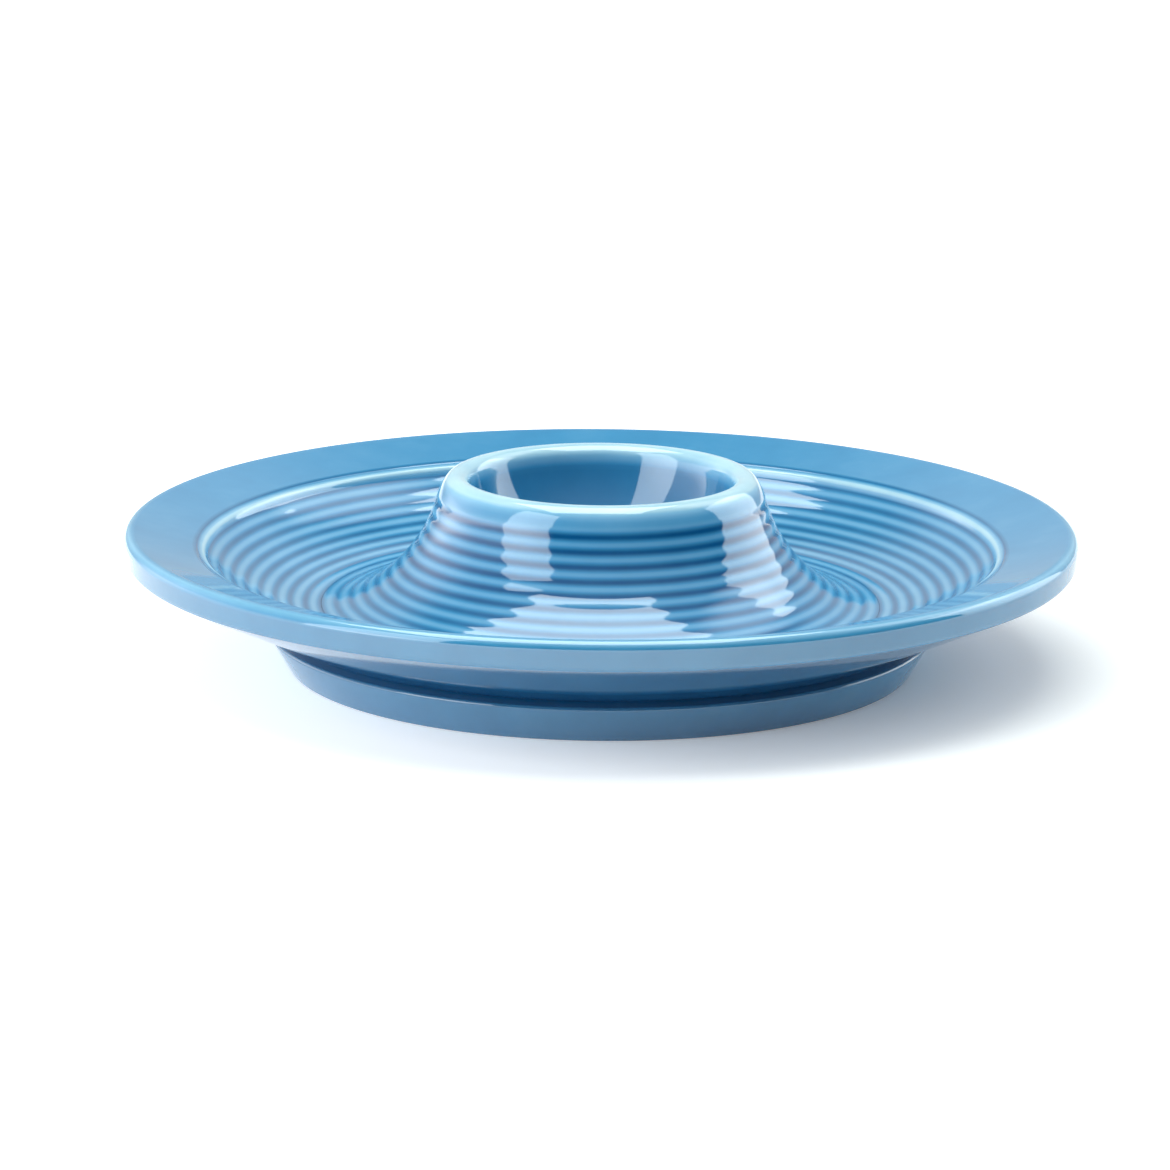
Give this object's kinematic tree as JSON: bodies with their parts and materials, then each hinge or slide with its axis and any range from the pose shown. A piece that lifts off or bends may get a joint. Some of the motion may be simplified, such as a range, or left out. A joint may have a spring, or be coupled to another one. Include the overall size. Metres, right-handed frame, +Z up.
{
  "type": "egg cup with saucer",
  "caption": "Low egg cup joined to its saucer, in blue glazed porcelain, with a rolled lip, fine concentric ridges around a trough, a plain sloping rim and a foot ring.",
  "frame": {"origin": "centre of the foot ring on the table", "axes": "+Z up along the axis of turning; the part is round, so +X and +Y are any two sides"},
  "size_m": [0.14, 0.14, 0.0284],
  "materials": {
    "glaze_foot": "glossy blue glaze, bare porcelain where it stands",
    "glaze_saucer": "glossy blue glaze",
    "glaze_cone": "glossy blue glaze, darker in the grooves",
    "glaze_bowl": "glossy blue glaze"
  },
  "bodies": {
    "root": {"foot_ring": "glaze_foot", "saucer": "glaze_saucer", "cup_cone": "glaze_cone", "cup_bowl": "glaze_bowl"}
  },
  "joints": []
}
